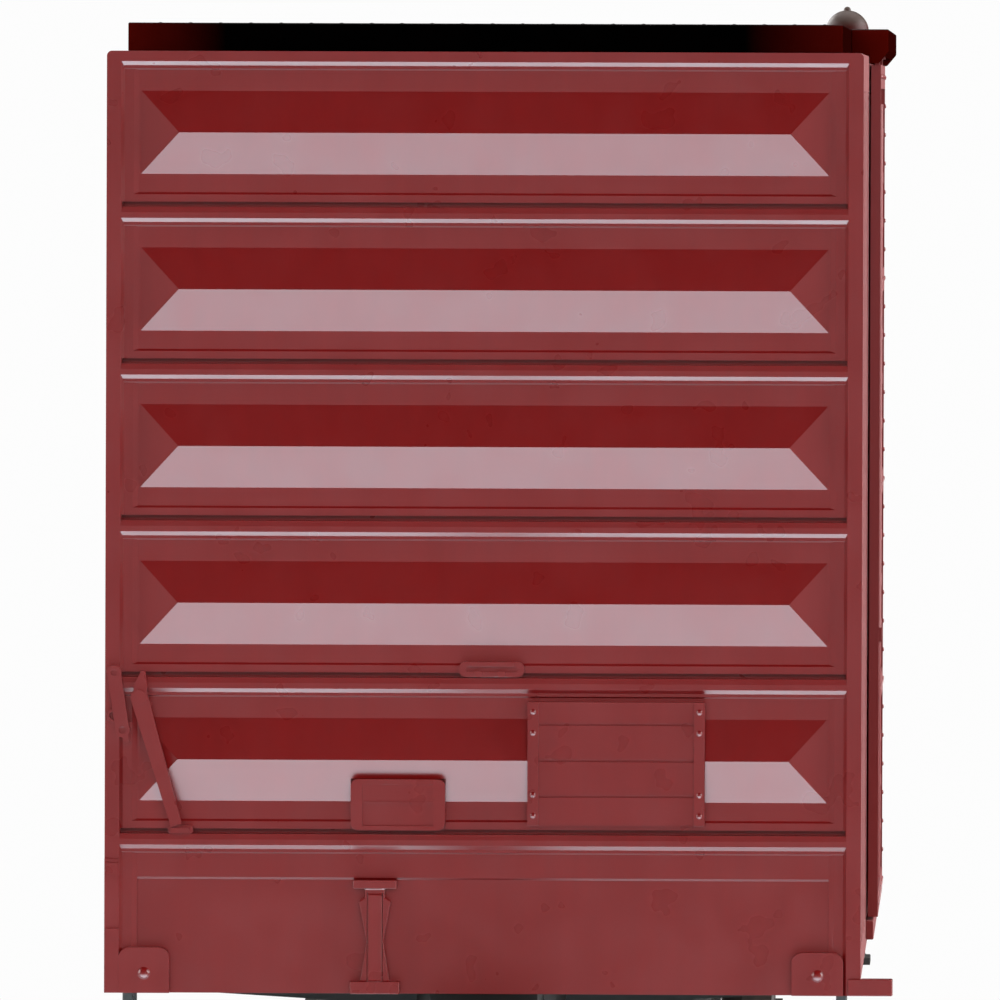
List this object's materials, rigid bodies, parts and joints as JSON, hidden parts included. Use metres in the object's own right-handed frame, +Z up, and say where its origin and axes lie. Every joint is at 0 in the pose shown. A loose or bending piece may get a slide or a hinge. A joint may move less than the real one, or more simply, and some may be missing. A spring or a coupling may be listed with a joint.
{
  "type": "model box car",
  "caption": "High-cube box car model with ribbed ends, sliding doors, swivelling trucks and knuckle couplers.",
  "frame": {"origin": "middle of the car at the lowest point of the wheel flanges", "axes": "+Z up, +Y along the car from the brake end to the plain end, +X to the right of someone facing the brake end"},
  "size_m": [0.0396, 0.1596, 0.0618],
  "materials": {
    "oxide_plastic": "semi-gloss oxide red moulding",
    "roof_black": "near-black satin",
    "frame_plastic": "dull black moulding",
    "truck_plastic": "dull brown-black moulding",
    "spring_steel": "dull steel",
    "screw_steel": "plated steel",
    "axle_steel": "blackened steel",
    "wheel_metal": "blackened metal with bright treads",
    "coupler_metal": "chemically darkened casting",
    "spring_bronze": "thin phosphor bronze",
    "weight_steel": "plain sheet steel"
  },
  "bodies": {
    "car_body": {"end_brake": "oxide_plastic", "end_plain": "oxide_plastic", "side_right": "oxide_plastic", "side_left": "oxide_plastic", "roof": "roof_black", "roof_vent": "roof_black", "floor": "frame_plastic", "centre_sill": "frame_plastic", "body_bolsters": "frame_plastic", "cross_bearers": "frame_plastic", "weight_plate": "weight_steel", "upper_track_right": "roof_black", "upper_track_left": "roof_black", "lower_track_right": "oxide_plastic", "lower_track_left": "oxide_plastic", "ladders": "oxide_plastic", "sill_steps": "frame_plastic", "tack_board": "oxide_plastic", "route_board": "oxide_plastic", "end_bracket": "oxide_plastic", "rod_bracket": "oxide_plastic", "corner_pads": "oxide_plastic", "pull_brackets": "oxide_plastic", "brake_lever": "oxide_plastic", "lever_foot": "oxide_plastic", "brake_link": "oxide_plastic", "brake_cylinder": "frame_plastic", "air_reservoir": "frame_plastic", "control_valve": "frame_plastic", "brake_rigging": "frame_plastic", "coupler_box_b": "frame_plastic", "coupler_box_a": "frame_plastic", "coupler_lid_b": "frame_plastic", "coupler_lid_a": "frame_plastic", "coupler_screw_b": "screw_steel", "coupler_screw_a": "screw_steel", "centring_spring_b": "spring_bronze", "centring_spring_a": "spring_bronze", "truck_screw_b": "screw_steel", "truck_screw_a": "screw_steel"},
    "truck_b": {"truck_frame_b": "truck_plastic", "truck_bolster_b": "truck_plastic", "truck_springs_b": "spring_steel"},
    "coupler_head_b": {"coupler_b": "coupler_metal"},
    "knuckle_arm_b": {"knuckle_b": "coupler_metal"},
    "truck_a": {"truck_frame_a": "truck_plastic", "truck_bolster_a": "truck_plastic", "truck_springs_a": "spring_steel"},
    "coupler_head_a": {"coupler_a": "coupler_metal"},
    "knuckle_arm_a": {"knuckle_a": "coupler_metal"},
    "wheelset_1": {"axle_1": "axle_steel", "wheels_1": "wheel_metal"},
    "wheelset_2": {"axle_2": "axle_steel", "wheels_2": "wheel_metal"},
    "wheelset_3": {"axle_3": "axle_steel", "wheels_3": "wheel_metal"},
    "wheelset_4": {"axle_4": "axle_steel", "wheels_4": "wheel_metal"},
    "sliding_door_right": {"door_right": "oxide_plastic"},
    "sliding_door_left": {"door_left": "oxide_plastic"}
  },
  "joints": [
    {"name": "truck_b_swivel", "type": "hinge", "parent": "car_body", "child": "truck_b", "pos_m": [0, -0.0535, 0.0117], "axis": [0, 0, 1], "range_deg": [-12, 12]},
    {"name": "truck_a_swivel", "type": "hinge", "parent": "car_body", "child": "truck_a", "pos_m": [0, 0.0535, 0.0117], "axis": [0, 0, 1], "range_deg": [-12, 12]},
    {"name": "wheelset_1_roll", "type": "hinge", "parent": "truck_b", "child": "wheelset_1", "pos_m": [0, -0.0634, 0.0054], "axis": [1, 0, 0], "continuous": true},
    {"name": "wheelset_2_roll", "type": "hinge", "parent": "truck_b", "child": "wheelset_2", "pos_m": [0, -0.0436, 0.0054], "axis": [1, 0, 0], "continuous": true},
    {"name": "wheelset_3_roll", "type": "hinge", "parent": "truck_a", "child": "wheelset_3", "pos_m": [0, 0.0436, 0.0054], "axis": [1, 0, 0], "continuous": true},
    {"name": "wheelset_4_roll", "type": "hinge", "parent": "truck_a", "child": "wheelset_4", "pos_m": [0, 0.0634, 0.0054], "axis": [1, 0, 0], "continuous": true},
    {"name": "coupler_b_swing", "type": "hinge", "parent": "car_body", "child": "coupler_head_b", "pos_m": [0, -0.068, 0.01055], "axis": [0, 0, 1], "range_deg": [-12, 12], "stiffness_Nm_per_rad": 0.0004},
    {"name": "knuckle_b_open", "type": "hinge", "parent": "coupler_head_b", "child": "knuckle_arm_b", "pos_m": [0.00145, -0.0776, 0.01055], "axis": [0, 0, 1], "range_deg": [0, 30], "stiffness_Nm_per_rad": 0.0001},
    {"name": "coupler_a_swing", "type": "hinge", "parent": "car_body", "child": "coupler_head_a", "pos_m": [0, 0.068, 0.01055], "axis": [0, 0, 1], "range_deg": [-12, 12], "stiffness_Nm_per_rad": 0.0004},
    {"name": "knuckle_a_open", "type": "hinge", "parent": "coupler_head_a", "child": "knuckle_arm_a", "pos_m": [-0.00145, 0.0776, 0.01055], "axis": [0, 0, 1], "range_deg": [0, 30], "stiffness_Nm_per_rad": 0.0001},
    {"name": "door_right_slide", "type": "slide", "parent": "car_body", "child": "sliding_door_right", "axis": [0, 1, 0], "range_m": [0, 0.0345]},
    {"name": "door_left_slide", "type": "slide", "parent": "car_body", "child": "sliding_door_left", "axis": [0, 1, 0], "range_m": [0, 0.0345]}
  ]
}
